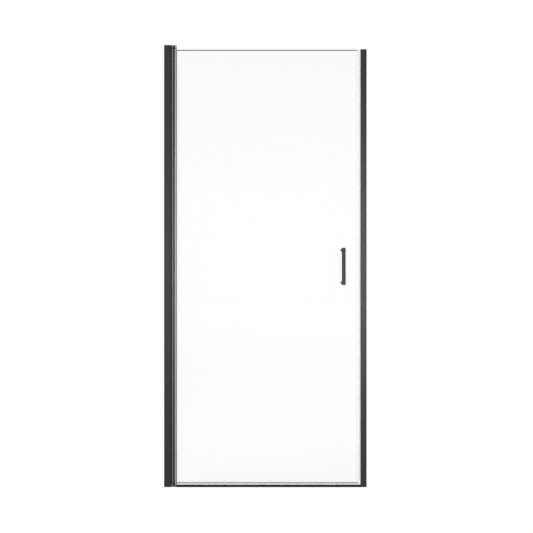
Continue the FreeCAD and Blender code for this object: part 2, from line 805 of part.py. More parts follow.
def pull_handle():
    """Round bar with flat ends, with a foot near each end that is bored for its screw."""
    body = new_body("pull_handle", HANDLE_X, minus(GLASS_HALF), "handle_height")
    section = new_sketch(body, "XY_Plane")
    circle(section, "0", "-handle_standoff", "handle_radius")
    bar = pad(body, section, "handle_length", both_ways=True)
    ends = edges_where(bar, lambda edge: edge.BoundBox.ZLength < TOLERANCE)
    edge_break = body.newObject("PartDesign::Chamfer", "handle_ends")
    edge_break.Base = (bar, ends)
    bind(edge_break, "Size", "handle_end_edge")
    feet = new_sketch(body, "XZ_Plane", offset="handle_washer")
    for rise in (HALF_SPACING, minus(HALF_SPACING)):
        circle(feet, "0", rise, "handle_foot_radius")
    pad(body, feet, "handle_standoff - handle_washer")
    bores = new_sketch(body, "XZ_Plane")
    for rise in (HALF_SPACING, minus(HALF_SPACING)):
        circle(bores, "0", rise, "handle_screw_radius + screw_fit")
    pocket(body, bores, "handle_washer + handle_screw_reach + cut_overrun")
    nodes.append(body)


def ring(label, y, rise, bore, radius, start, end):
    """Ring about the axis of one handle screw."""
    body = new_body(label, HANDLE_X, y, f"handle_height + {rise}")
    section = new_sketch(body, "XY_Plane")
    rectangle(section, bore, start, radius, end)
    revolve(body, section)
    return body


def handle_rings():
    """Washers on both faces of the glass and sleeves in its holes."""
    bore = "handle_screw_radius + handle_sleeve_fit"
    sleeve = "handle_hole_radius - handle_sleeve_fit"
    rises = (HALF_SPACING, minus(HALF_SPACING))
    group("handle_outer_washers", [
        ring("outer_washer", minus(GLASS_HALF), rise, bore, "handle_washer_radius", "-handle_washer", "0")
        for rise in rises
    ])
    group("handle_sleeves", [
        ring("sleeve", "0", rise, bore, sleeve, minus(GLASS_HALF), GLASS_HALF)
        for rise in rises
    ])
    group("handle_inner_washers", [
        ring("inner_washer", GLASS_HALF, rise, bore, "handle_washer_radius", "0", "handle_washer")
        for rise in rises
    ])


def handle_screws():
    """Screws from inside the shower into the feet of the handle."""
    bodies = []
    seat = f"{GLASS_HALF} + handle_washer"
    tip = f"-({GLASS_HALF} + handle_washer + handle_screw_reach)"
    for rise in (HALF_SPACING, minus(HALF_SPACING)):
        body = new_body("handle_screw", HANDLE_X, "0", f"handle_height + {rise}")
        section = new_sketch(body, "XY_Plane")
        outline(section, [
            ("0", tip),
            ("handle_screw_radius", tip),
            ("handle_screw_radius", seat),
            ("handle_screw_head_radius", seat),
            ("handle_screw_head_radius", f"{seat} + handle_screw_head"),
            ("0", f"{seat} + handle_screw_head"),
        ])
        revolve(body, section)
        bodies.append(body)
    group("handle_screws", bodies)


def handle_caps():
    """Caps over the handle screws, inside the shower."""
    group("handle_caps", [
        screw_cover("handle_cap", HANDLE_X, f"{GLASS_HALF} + handle_washer", f"handle_height + {rise}",
                    "handle_cap_radius", "handle_cap_height", "handle_cap_wall")
        for rise in (HALF_SPACING, minus(HALF_SPACING))
    ])


def check_document():
    """Stop if any object failed, a cut removed nothing or a node has no sound shape."""
    for item in document.Objects:
        if {"Invalid", "Error"} & set(item.State):
            raise RuntimeError(f"{item.Label}: {item.State}")
    for cut in cuts:
        if cut.Shape.Volume >= cut.BaseFeature.Shape.Volume:
            raise RuntimeError(f"{cut.Label} cuts nothing")
    for node in nodes:
        if node.Shape.isNull() or not node.Shape.isValid():
            raise RuntimeError(f"{node.Label} has no sound shape")


wall_channel("hinge_wall_profile", LEFT_WALL, "hinge_channel_width", "frame_height", "hinge_lock_setback")
hinge_post()
post_wiper_seal()
for end_name, end_height, end_turn in POST_ENDS:
    pivot_block(f"{end_name}_pivot_block", end_height, end_turn)
    pivot_pin(f"{end_name}_pivot_pin", end_height, end_turn)
    rail_bush(f"{end_name}_rail_bush", end_height, end_turn)
pivot_nose_trims()
pivot_block_screws()
profile_cap("hinge_profile_cap", LEFT_WALL, "frame_height", "channel_wall + profile_cap_fit",
            "pivot_block_tail - profile_cap_fit")
wall_channel("strike_wall_profile", RIGHT_WALL, "strike_channel_width", STRIKE_HEIGHT,
             "strike_lock_setback", TURNED_ABOUT, turned=True)
strike_insert()
strike_magnet_seal()
magnet("strike_magnet", f"{RIGHT_WALL} - strike_channel_width + strike_seal_recess + seal_face + magnet_fit",
       "0", INSERT_LENGTH, TURNED_ABOUT)
profile_cap("strike_profile_cap", RIGHT_WALL, STRIKE_HEIGHT, "channel_wall + profile_cap_fit",
            "strike_channel_width - strike_seal_recess", TURNED_ABOUT)
frame_lock_screws()
frame_screw_caps()
threshold_bar()
threshold_tape()
door_rail()
grip_gasket("front_grip_gasket", minus)
grip_gasket("rear_grip_gasket", str)
glass_setting_blocks()
glass_panel()
door_magnet_seal()
magnet("door_magnet", f"{GLASS_RIGHT} + door_seal_reach - seal_face - magnet_fit",
       DOOR_SEAL_BOTTOM, DOOR_SEAL_LENGTH)
drip_seal()
pull_handle()
handle_rings()
handle_screws()
handle_caps()

document.recompute()
check_document()
os.makedirs("parts", exist_ok=True)
for node in nodes:
    node.Shape.exportStep(f"parts/{node.Label}.step")
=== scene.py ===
import math

import bpy
import numpy as np
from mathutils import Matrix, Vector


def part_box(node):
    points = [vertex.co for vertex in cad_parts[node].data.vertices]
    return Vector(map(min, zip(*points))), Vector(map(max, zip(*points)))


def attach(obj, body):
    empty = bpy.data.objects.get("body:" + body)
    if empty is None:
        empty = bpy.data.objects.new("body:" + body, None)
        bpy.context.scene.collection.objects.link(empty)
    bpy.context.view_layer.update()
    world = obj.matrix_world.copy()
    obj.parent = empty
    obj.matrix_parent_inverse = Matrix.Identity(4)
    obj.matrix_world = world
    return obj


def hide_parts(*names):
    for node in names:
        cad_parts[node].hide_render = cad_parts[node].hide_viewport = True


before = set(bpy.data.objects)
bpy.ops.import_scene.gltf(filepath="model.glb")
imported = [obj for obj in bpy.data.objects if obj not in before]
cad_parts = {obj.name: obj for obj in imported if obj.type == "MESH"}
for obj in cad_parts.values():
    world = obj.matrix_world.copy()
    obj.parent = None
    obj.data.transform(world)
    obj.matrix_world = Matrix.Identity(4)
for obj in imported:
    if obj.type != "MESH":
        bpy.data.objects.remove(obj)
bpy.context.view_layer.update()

bl_info = {
    "name": "Pivot shower door",
    "version": (1, 0, 0),
    "blender": (4, 5, 0),
    "location": "View3D > Sidebar > Shower door",
    "description": "Finishes, soft seals, fixings and studio for a framed pivot shower door",
    "category": "Object",
}

MILLIMETRE = 0.001
AXES = {"X": np.array((1.0, 0.0, 0.0)), "Y": np.array((0.0, 1.0, 0.0)), "Z": np.array((0.0, 0.0, 1.0))}
WHITE = (1.0, 1.0, 1.0, 1.0)
BLACK = (0.0, 0.0, 0.0, 1.0)
SHARP_ANGLE = math.radians(40)

# Places of the pieces that repeat, in metres.
PIVOT_X = -0.381
LOCK_CAP_Y = 0.01
LOCK_CAP_COLUMNS = {-0.3965: (0.3, 0.9145, 1.529), 0.408: (0.3, 0.90575, 1.5115)}
LOCK_CAP_PLACES = [(x, LOCK_CAP_Y, z) for x, heights in LOCK_CAP_COLUMNS.items() for z in heights]
HANDLE_FEET = [(0.3207, z) for z in (0.8455, 0.9805)]
WASHER_START_Y = {"handle_outer_washers": -0.004, "handle_inner_washers": 0.003}
HANDLE_CAP_Y = 0.004
BLOCK_SCREW_PLACES = [(-0.4025, y) for y in (-0.0044, 0.0044)]

# Where finishes change on a piece, and where highlight and shade are painted on, in metres.
# Painted highlight: a paler stripe along the barrel's flats, standing in for the light that they catch.
PAINTED_HIGHLIGHT_LINE = (PIVOT_X - 0.0066, PIVOT_X - 0.0024)
# Painted shade: from here outwards the bevel of the gaskets and nose trims is painted darker, standing in
# for its turning away from the light at the left.
PAINTED_SHADE_LIP_X = PIVOT_X + 0.0112
MILKY_TOP = 0.0111

# Sections in millimetres. What lies on the glass stands 0.03 mm off it, so that no two faces coincide.
GASKET_HALF_SECTION = [
    (7.0, 3.03), (13.6, 3.03), (13.6, 5.4), (11.2, 8.0), (7.0, 8.0), (7.0, 6.8), (11.4, 6.8), (11.4, 4.0),
    (7.0, 4.0)]
TRIM_HALF_SECTION = [(7.0, 6.8), (12.6, 6.8), (11.2, 8.0), (7.0, 8.0)]
DRIP_SECTION = [
    (-3.03, 12.97), (-3.03, 23.0), (-4.0, 23.0), (-4.0, 9.4), (-3.8, 7.05), (-2.7, 7.05), (-2.5, 9.4),
    (-2.1, 11.8), (4.0, 11.8), (4.0, 13.4), (7.2, 12.2), (9.0, 9.9), (9.9, 8.65), (10.0, 9.8), (8.6, 12.2),
    (6.4, 14.2), (4.0, 15.2), (4.0, 23.0), (3.03, 23.0), (3.03, 12.97)]
WASHER_SECTION = np.array([
    (3.1, 0.03), (7.4, 0.03), (7.75, 0.18), (7.8, 0.5), (7.75, 0.82), (7.4, 0.97), (3.1, 0.97)])

# Turned pieces in millimetres; a share and a flare are factors, and a closed end shrinks to a point.
HANDLE_CAP = {"radius": 8.0, "height": 5.5, "wall": 1.2}
LOCK_CAP = {"radius": 4.6, "height": 3.2, "wall": 0.7}
SKIRT_SHARE = 0.35
CROWN_END = 0.497 * np.pi
SCREW_TIP, SCREW_NECK = -21.2, -2.4
THREAD_CORE, THREAD_DEPTH, THREAD_PITCH, THREAD_RINGS = 1.53, 0.21, 0.8, 189
HEAD_RADIUS, HEAD_RIM_RADIUS, HEAD_RIM_DROP = 2.8, 2.65, 0.2
SOCKET_APOTHEM, SOCKET_FLARE = 1.25, 1.06
FLARE_DEPTH, SOCKET_DEPTH, SOCKET_TIP_DEPTH = 0.15, 1.6, 1.8
POINT = 0.02

# Studio, in metres and degrees; a light's spread is the angle that its grid lets through.
SENSOR_WIDTH = 36.0
FLOOR_CORNERS = [(-9.0, -7.0), (9.0, -7.0), (9.0, 14.0), (-9.0, 14.0)]
FLOOR_Z = -0.0004
FLOOR_GREY = 0.2
SIDE_LIGHT = {"place": (-2.3, -1.15, 1.3), "target": (-0.38, 0.0, 1.0), "size": (1.3, 2.0), "spread": 80}
FRONT_LIGHT = {"place": (0.0, -3.4, 0.95), "target": (0.0, 0.0, 0.95), "size": (2.4, 1.5), "spread": 90}
STRIKE_LIGHT = {"place": (1.15, -2.6, 0.9), "target": (0.41, 0.0, 0.95), "size": (0.4, 1.6), "spread": 50}

# Which finish each node of the frame carries.
COATED_PROFILES = ("hinge_wall_profile", "strike_wall_profile")
POLISHED_PROFILES = ("door_rail", "bottom_pivot_block", "top_pivot_block")
MATT_PROFILES = ("threshold_bar", "hinge_post", "strike_insert")
MOULDED_PIECES = ("hinge_profile_cap", "strike_profile_cap")
STEEL_PIECES = ("bottom_pivot_pin", "top_pivot_pin", "frame_lock_screws", "handle_screws")
NYLON_PIECES = ("bottom_rail_bush", "top_rail_bush")
MAGNET_STRIPS = ("door_magnet", "strike_magnet")
RUBBER_PIECES = ("glass_setting_blocks", "threshold_tape")

# Sockets of a Mix node that blends colours.
MIX_SHARE, MIX_FIRST, MIX_SECOND, MIX_COLOUR = 0, 6, 7, 2


class Value:
    """Output socket of a shader node; arithmetic with numbers or other values adds Math nodes."""

    def __init__(self, graph, socket):
        self.graph = graph
        self.socket = socket

    def __getitem__(self, name):
        """Another output of the same node."""
        return Value(self.graph, self.socket.node.outputs[name])

    def maths(self, operation, *terms):
        """Math node with that operation on these terms."""
        return self.graph.node("ShaderNodeMath", {"operation": operation}, dict(enumerate(terms)))

    def __add__(self, other):
        return self.maths("ADD", self, other)

    __radd__ = __add__

    def __sub__(self, other):
        return self.maths("SUBTRACT", self, other)

    def __rsub__(self, other):
        return self.maths("SUBTRACT", other, self)

    def __mul__(self, other):
        return self.maths("MULTIPLY", self, other)

    __rmul__ = __mul__

    def lowest(self, other):
        return self.maths("MINIMUM", self, other)

    def highest(self, other):
        return self.maths("MAXIMUM", self, other)


class Graph:
    """Node tree of a material or of the world, with the one shader in it that values drive."""

    def __init__(self, owner, shader):
        owner.use_nodes = True
        self.tree = owner.node_tree
        self.shader = self.tree.nodes[shader]

    def node(self, kind, settings, sockets, output=0):
        """New node of a kind: its settings first, then a value or a link for each socket named."""
        made = self.tree.nodes.new(kind)
        for name, setting in settings.items():
            setattr(made, name, setting)
        for key, given in sockets.items():
            if isinstance(given, Value):
                self.tree.links.new(given.socket, made.inputs[key])
            else:
                made.inputs[key].default_value = given
        return Value(self, made.outputs[output])

    def feed(self, socket, value):
        """Drive one socket of the shader by a value."""
        self.tree.links.new(value.socket, self.shader.inputs[socket])

    def seen_directly(self):
        """1 for rays from the camera, from gloss and through glass, and 0 for soft light."""
        path = self.node("ShaderNodeLightPath", {}, {}, "Is Camera Ray")
        return path.highest(path["Is Glossy Ray"]).highest(path["Is Transmission Ray"])


class Finish(Graph):
    """Material in the making: a Principled shader, its constant sockets and the nodes that vary others."""

    def __init__(self, name, **constants):
        self.material = bpy.data.materials.new(name)
        super().__init__(self.material, "Principled BSDF")
        for socket, value in constants.items():
            self.shader.inputs[socket.replace("_", " ")].default_value = value

    def place(self, stretch=(1.0, 1.0, 1.0)):
        """Object coordinates, stretched by a factor for each axis."""
        here = self.node("ShaderNodeTexCoord", {}, {}, "Object")
        return self.node("ShaderNodeMapping", {}, {"Vector": here, "Scale": stretch})

    def along(self, axis):
        """Place along one axis in metres."""
        return self.node("ShaderNodeSeparateXYZ", {}, {"Vector": self.place()}, axis)

    def noise(self, size, detail=2.0, stretch=(1.0, 1.0, 1.0)):
        """Cloudy pattern from 0 to 1 with features of about that size in metres."""
        sockets = {"Vector": self.place(stretch), "Scale": 1 / size, "Detail": detail, "Roughness": 0.55}
        return self.node("ShaderNodeTexNoise", {}, sockets)

    def ramp(self, value, start, end):
        """Smooth step of a value: 0 at the start and 1 at the end."""
        sockets = {"Value": value, "From Min": start, "From Max": end}
        return self.node("ShaderNodeMapRange", {"interpolation_type": "SMOOTHSTEP"}, sockets)

    def blend(self, share, first, second):
        """Colour from the first to the second as the share goes from 0 to 1."""
        sockets = {MIX_SHARE: share, MIX_FIRST: first, MIX_SECOND: second}
        return self.node("ShaderNodeMix", {"data_type": "RGBA"}, sockets, MIX_COLOUR)

    def relief(self, height, depth, strength):
        """Surface relief of that depth in metres."""
        sockets = {"Height": height, "Distance": depth, "Strength": strength}
        self.feed("Normal", self.node("ShaderNodeBump", {}, sockets))


def tone(colour, factor):
    """Colour with its brightness scaled, as four channels."""
    return (*(min(1.0, channel * factor) for channel in tuple(colour)[:3]), 1.0)


def powder_coat(name, colour, roughness, shine, painted_highlight_span=None, painted_highlight_colour=None):
    """Satin powder coat: faint clouding, an orange-peel relief and fine specks in gloss and colour.

    Between two given ends along X the colour is painted paler: a painted highlight standing in for the light
    that the barrel's flats catch.
    """
    finish = Finish(name, Specular_IOR_Level=shine)
    cloud = finish.noise(size=0.12, detail=3.0)
    speck = finish.noise(size=0.0006, detail=1.0)
    coat = finish.blend(0.5 * cloud + 0.5 * speck, tone(colour, 0.7), tone(colour, 1.35))
    if painted_highlight_span is not None:
        # Painted highlight: the paler stripe stands in for light caught by the barrel's flats.
        x = finish.along("X")
        start, end = painted_highlight_span
        soft = 0.2 * MILLIMETRE
        share = finish.ramp(x, start - soft, start + soft) * finish.ramp(x, end + soft, end - soft)
        pale = finish.blend(cloud, tone(painted_highlight_colour, 0.9), tone(painted_highlight_colour, 1.1))
        coat = finish.blend(share, coat, pale)
    finish.feed("Base Color", coat)
    finish.feed("Roughness", roughness - 0.07 + 0.08 * cloud + 0.06 * speck)
    finish.relief(finish.noise(size=0.0016, detail=1.0), depth=0.02 * MILLIMETRE, strength=0.35)
    return finish.material


def moulded_plastic(name, colour):
    """Black moulded plastic with a fine spark-eroded grain."""
    finish = Finish(name)
    grain = finish.noise(size=0.0004)
    cloud = finish.noise(size=0.03)
    finish.feed("Base Color", finish.blend(grain, tone(colour, 0.75), tone(colour, 1.3)))
    finish.feed("Roughness", 0.46 + 0.16 * cloud)
    finish.relief(grain, depth=0.03 * MILLIMETRE, strength=0.5)
    return finish.material


def turned_steel(name, colour):
    """Bright steel with fine rings from turning along Y and Z and a mottled gloss."""
    finish = Finish(name, Metallic=1.0)
    rings = finish.noise(size=0.05, stretch=(1.0, 150.0, 150.0))
    mottle = finish.noise(size=0.004)
    share = 0.6 * rings + 0.4 * mottle
    finish.feed("Base Color", finish.blend(share, tone(colour, 0.8), tone(colour, 1.15)))
    finish.feed("Roughness", 0.2 + 0.2 * rings)
    finish.relief(rings, depth=0.01 * MILLIMETRE, strength=0.4)
    return finish.material


def turned_nylon(name, colour):
    """Black nylon with fine turned rings along Z and slight flow clouds."""
    finish = Finish(name)
    flow = finish.noise(size=0.006, detail=3.0)
    rings = finish.noise(size=0.05, stretch=(1.0, 1.0, 120.0))
    share = 0.5 * flow + 0.5 * rings
    finish.feed("Base Color", finish.blend(share, tone(colour, 0.8), tone(colour, 1.25)))
    finish.feed("Roughness", 0.38 + 0.14 * flow)
    finish.relief(rings, depth=0.01 * MILLIMETRE, strength=0.3)
    return finish.material


def extruded_vinyl(name, colour, shade_lip_x=None):
    """Opaque extruded vinyl: streaks along Z, and painted shade that darkens the soft lip's bevel from a
    given x outwards, where it turns away from the light at the left.
    """
    finish = Finish(name)
    streaks = finish.noise(size=0.0012, stretch=(1.0, 1.0, 0.004))
    cloud = finish.noise(size=0.05)
    body = finish.blend(0.7 * streaks + 0.3 * cloud, tone(colour, 0.88), tone(colour, 1.1))
    if shade_lip_x is not None:
        soft = 0.4 * MILLIMETRE
        # Painted shade: the lip's bevel is darkened where it turns away from the light.
        share = finish.ramp(finish.along("X"), shade_lip_x - soft, shade_lip_x + soft)
        body = finish.blend(share, body, tone(colour, 0.55))
    finish.feed("Base Color", body)
    finish.feed("Roughness", 0.34 + 0.16 * streaks)
    finish.relief(streaks, depth=0.02 * MILLIMETRE, strength=0.4)
    return finish.material


def clear_vinyl(name, colour, along, cover, milky=None):
    """Clear vinyl streaked along its length; milky is another cover and the height that it reaches."""
    finish = Finish(name)
    streaks = finish.noise(size=0.0015, stretch=tuple(0.004 if axis == along else 1.0 for axis in "XYZ"))
    finish.feed("Base Color", finish.blend(streaks, tone(colour, 0.94), tone(colour, 1.04)))
    alpha = cover + 0.03 * streaks
    if milky is not None:
        milky_cover, top = milky
        soft = 0.5 * MILLIMETRE
        fog = finish.ramp(finish.along("Z"), top + soft, top - soft)
        alpha = alpha * (1 - fog) + milky_cover * fog
    finish.feed("Alpha", alpha)
    finish.feed("Roughness", 0.12 + 0.12 * streaks)
    finish.relief(streaks, depth=0.02 * MILLIMETRE, strength=0.35)
    return finish.material


def magnet_strip(name, colour):
    """Milky coated magnet strip, mostly see-through, with a faint pole pitch across its length."""
    finish = Finish(name, Alpha=0.12)
    poles = finish.node("ShaderNodeTexWave", {"bands_direction": "Z"},
                        {"Vector": finish.place(), "Scale": 40.0, "Distortion": 0.4})
    grain = finish.noise(size=0.001)
    share = 0.4 * poles + 0.6 * grain
    finish.feed("Base Color", finish.blend(share, tone(colour, 0.9), tone(colour, 1.05)))
    finish.feed("Roughness", 0.5 + 0.15 * grain)
    finish.relief(grain, depth=0.02 * MILLIMETRE, strength=0.3)
    return finish.material


def soft_rubber(name, colour):
    """Matt black rubber with a cellular grain."""
    finish = Finish(name, Specular_IOR_Level=0.25)
    cells = finish.node("ShaderNodeTexVoronoi", {}, {"Vector": finish.place(), "Scale": 900.0})
    finish.feed("Base Color", finish.blend(cells, tone(colour, 0.6), tone(colour, 1.5)))
    finish.feed("Roughness", 0.75 + 0.15 * cells)
    finish.relief(cells, depth=0.08 * MILLIMETRE, strength=0.6)
    return finish.material


def clear_glass(name, tint, edge_shade_colour, cover, edge_width):
    """Clear pane with ground top and bottom edges, along which a dark, nearly opaque strip is painted on the
    faces as painted shade, standing in for how the edges look through the glass.

    It covers more of what is behind it at a slant, and a faint haze breaks its gloss.
    """
    finish = Finish(name, IOR=1.5)
    low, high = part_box("glass_panel")
    z = finish.along("Z")
    inset = (z - low.z).lowest(high.z - z)
    edge = finish.ramp(inset, edge_width, 0.6 * edge_width)
    haze = finish.noise(size=0.25, detail=3.0)
    slant = finish.node("ShaderNodeLayerWeight", {}, {"Blend": 0.25}, "Facing")
    # Painted shade: the dark, nearly opaque strip along the top and bottom edges stands in for how the edges
    # look through the glass; the rougher gloss there is the real ground edge.
    finish.feed("Base Color", finish.blend(edge, tint, edge_shade_colour))
    finish.feed("Alpha", (cover + 0.7 * slant) * (1 - edge) + 0.92 * edge)
    finish.feed("Roughness", 0.015 + 0.02 * haze + 0.25 * edge)
    return finish.material


def rounded(corners, radius, steps=5, longest=0.45):
    """Closed outline with every corner cut back by the radius and bridged by a parabola.

    Each corner C with neighbours P and Q becomes (1-t)^2 S + 2t(1-t) C + t^2 E, where S and E lie on the
    two sides at the radius from C, or at the longest share of a side that is too short.
    """
    corner = np.asarray(corners, float) * MILLIMETRE
    turn = np.cross(corner, np.roll(corner, -1, 0)).sum()
    corner = corner if turn > 0 else corner[::-1]
    before, after = np.roll(corner, 1, 0) - corner, np.roll(corner, -1, 0) - corner
    start, end = (corner + side * np.minimum(radius / np.linalg.norm(side, axis=1, keepdims=True), longest)
                  for side in (before, after))
    t = np.linspace(0, 1, steps)[None, :, None]
    curve = (1 - t) ** 2 * start[:, None] + 2 * t * (1 - t) * corner[:, None] + t ** 2 * end[:, None]
    return curve.reshape(-1, 2)


def ring_faces(rings, points, first=0, bored=False):
    """Quads between rings of points; the last ring joins the first if bored, or else both are filled."""
    u, v = np.meshgrid(np.arange(rings if bored else rings - 1), np.arange(points), indexing="ij")
    ahead, above = (v + 1) % points, (u + 1) % rings
    quads = np.stack((u * points + v, u * points + ahead, above * points + ahead, above * points + v), -1)
    faces = (quads.reshape(-1, 4) + first).tolist()
    if bored:
        return faces
    start = np.arange(points)[::-1] + first
    end = np.arange(points) + (rings - 1) * points + first
    return [*faces, start.tolist(), end.tolist()]


def swept(profile, stations, side, up):
    """Profile (a, b) carried along a path: point (u, v) = station(u) + a(v) side + b(v) up."""
    offsets = profile[:, :1] * AXES[side] + profile[:, 1:] * AXES[up]
    points = np.asarray(stations, float)[:, None, :] + offsets[None, :, :]
    return points.reshape(-1, 3), ring_faces(len(stations), len(profile))


def turned(radii, heights, centres, across, along, axis, sides, bored=False):
    """Turned pieces: point (k, a) = centre + radius(k, a) (cos a across + sin a along) + height(k) axis."""
    angle = np.linspace(0, 2 * np.pi, sides, endpoint=False)
    radius = np.broadcast_to(np.asarray(radii, float), (len(heights), sides)) * MILLIMETRE
    spoke = np.cos(angle)[:, None] * across + np.sin(angle)[:, None] * along
    shape = radius[..., None] * spoke + np.asarray(heights, float)[:, None, None] * MILLIMETRE * axis
    points = np.asarray(centres, float)[:, None, None, :] + shape
    starts = np.arange(len(centres)) * len(heights) * sides
    faces = [face for start in starts for face in ring_faces(len(heights), sides, start, bored)]
    return points.reshape(-1, 3), faces


def dome(radius, height, wall, steps=9):
    """Hollow cap: a straight skirt and an elliptic crown, outside and then offset by the wall inside.

    The crown is radius = R cos(a), height = skirt + (H - skirt) sin(a), with a from 0 to nearly 90 degrees.
    """
    angle = np.linspace(0, CROWN_END, steps)
    skirt = SKIRT_SHARE * height
    bore = radius - wall
    outer = np.stack((radius * np.cos(angle), skirt + (height - skirt) * np.sin(angle)), 1)
    inner = np.stack((bore * np.cos(angle), skirt + (height - wall - skirt) * np.sin(angle)), 1)
    outline = np.concatenate((inner[::-1], [(bore, 0.0)], [(radius, 0.0)], outer))
    return outline[:, :1], outline[:, 1]


def socket_screw(sides):
    """Cap screw: threaded shank, round head and a hexagon socket.

    A ring of the socket has radius apothem / cos(a), with a the angle from the nearest flat's middle.
    The thread is radius = core + depth |sin(pi h / pitch)| along the shank.
    """
    angle = np.linspace(0, 2 * np.pi, sides, endpoint=False)
    hexagon = SOCKET_APOTHEM / np.cos((angle + np.pi / 6) % (np.pi / 3) - np.pi / 6)
    shank = np.linspace(SCREW_TIP, SCREW_NECK, THREAD_RINGS)
    thread = THREAD_CORE + THREAD_DEPTH * np.abs(np.sin(np.pi * shank / THREAD_PITCH))
    circles = np.array([POINT, *thread, HEAD_RADIUS, HEAD_RADIUS, HEAD_RIM_RADIUS])
    socket = np.stack((hexagon * SOCKET_FLARE, hexagon, hexagon, hexagon * POINT))
    heights = [SCREW_TIP, *shank, SCREW_NECK, -HEAD_RIM_DROP, 0.0,
               0.0, -FLARE_DEPTH, -SOCKET_DEPTH, -SOCKET_TIP_DEPTH]
    return np.concatenate((np.repeat(circles[:, None], sides, 1), socket)), np.array(heights)


def add_piece(name, shape, finish, body, slot, *nodes):
    """New mesh piece that rides on a body, takes a finish and stands for nodes of the frame."""
    points, faces = shape
    mesh = bpy.data.meshes.new(name)
    mesh.from_pydata(points.tolist(), [], faces)
    mesh.polygons.foreach_set("use_smooth", np.ones(len(mesh.polygons), bool))
    mesh.set_sharp_from_angle(angle=SHARP_ANGLE)
    mesh.materials.append(finish)
    piece = bpy.data.objects.new(name, mesh)
    bpy.context.scene.collection.objects.link(piece)
    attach(piece, body)
    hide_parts(*nodes)


def dress(nodes, finish):
    """Give nodes of the frame a finish."""
    for node in nodes:
        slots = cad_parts[node].data.materials
        slots.clear()
        slots.append(finish)


class DoorFinishes(bpy.types.PropertyGroup):
    """Colours of the door."""

    black: bpy.props.FloatVectorProperty(
        name="Black", description="Colour of the powder-coated frame", subtype="COLOR", size=3,
        default=(0.008, 0.008, 0.0083))
    handle_black: bpy.props.FloatVectorProperty(
        name="Handle black", description="Colour of the handle", subtype="COLOR", size=3,
        default=(0.062, 0.062, 0.063))
    sill_black: bpy.props.FloatVectorProperty(
        name="Matt black", description="Colour of the threshold and of the inner profiles",
        subtype="COLOR", size=3, default=(0.004, 0.004, 0.004))
    # Painted highlight: this grey stands in for the light that the barrel's flats catch.
    painted_highlight_grey: bpy.props.FloatVectorProperty(
        name="Flat grey", description="Colour of the pale line along the barrel's flats",
        subtype="COLOR", size=3, default=(0.27, 0.27, 0.275))
    grey: bpy.props.FloatVectorProperty(
        name="Seal grey", description="Colour of the grey vinyl seals", subtype="COLOR", size=3,
        default=(0.46, 0.465, 0.47))
    pale: bpy.props.FloatVectorProperty(
        name="Pale seal", description="Colour of the strike's magnetic seal", subtype="COLOR", size=3,
        default=(0.9, 0.95, 0.93))
    mint: bpy.props.FloatVectorProperty(
        name="Clear seal tint", description="Tint of the clear vinyl seals", subtype="COLOR", size=3,
        default=(0.9, 0.97, 0.945))
    glass: bpy.props.FloatVectorProperty(
        name="Glass tint", description="Tint of the glass faces", subtype="COLOR", size=4,
        default=(0.82, 0.84, 0.83, 1.0))
    # Colour of the painted shade along the glass's top and bottom edges, standing in for how the edges look
    # through the pane.
    glass_edge_shade: bpy.props.FloatVectorProperty(
        name="Glass edge", description="Colour of the ground glass edges", subtype="COLOR", size=4,
        default=(0.03, 0.038, 0.035, 1.0))
    glass_cover: bpy.props.FloatProperty(
        name="Glass cover", description="Share of the view that the glass faces cover", subtype="FACTOR",
        default=0.055, min=0.0, max=1.0)
    steel: bpy.props.FloatVectorProperty(
        name="Steel", description="Colour of pins and screws", subtype="COLOR", size=3,
        default=(0.62, 0.62, 0.63))
    nylon: bpy.props.FloatVectorProperty(
        name="Nylon", description="Colour of the pivot bushes", subtype="COLOR", size=3,
        default=(0.03, 0.03, 0.031))
    magnet: bpy.props.FloatVectorProperty(
        name="Magnet", description="Colour of the magnet strips", subtype="COLOR", size=3,
        default=(0.92, 0.94, 0.93))
    rubber: bpy.props.FloatVectorProperty(
        name="Rubber", description="Colour of setting blocks and sealing tape", subtype="COLOR", size=3,
        default=(0.018, 0.018, 0.018))


class DoorShapes(bpy.types.PropertyGroup):
    """Sizes of the soft and turned details."""

    lip_radius: bpy.props.FloatProperty(
        name="Lip radius", description="Rounding of the vinyl seals' corners", unit="LENGTH",
        default=0.0004, min=0.0, max=0.002)
    edge_width: bpy.props.FloatProperty(
        name="Glass edge", description="Width of the ground border of the glass", unit="LENGTH",
        default=0.0029, min=0.0001, max=0.01)
    cap_sides: bpy.props.IntProperty(
        name="Cap sides", description="Facets round a turned cap", default=48, min=12, max=128)


class DoorStudio(bpy.types.PropertyGroup):
    """Camera and light."""

    camera_place: bpy.props.FloatVectorProperty(
        name="Camera", description="Place of the camera", subtype="TRANSLATION", unit="LENGTH", size=3,
        default=(0.0048, -2.61, 0.9127))
    lens: bpy.props.FloatProperty(
        name="Lens", description="Focal length of the camera in millimetres",
        default=42.45, min=10.0, max=200.0)
    surround: bpy.props.FloatProperty(
        name="Surround", description="Strength of the light from all round",
        default=0.62, min=0.0, max=2.0)
    side_power: bpy.props.FloatProperty(
        name="Side light", description="Power of the tall soft light at the left in watts",
        default=9.5, min=0.0)
    front_power: bpy.props.FloatProperty(
        name="Front light", description="Power of the soft light behind the camera in watts",
        default=6.6, min=0.0)
    strike_power: bpy.props.FloatProperty(
        name="Strike light", description="Power of the narrow soft light at the right in watts",
        default=2.0, min=0.0)
    floor_glow: bpy.props.FloatProperty(
        name="Floor glow", description="Light that the floor adds to its own, to the eye only",
        default=0.88, min=0.0)


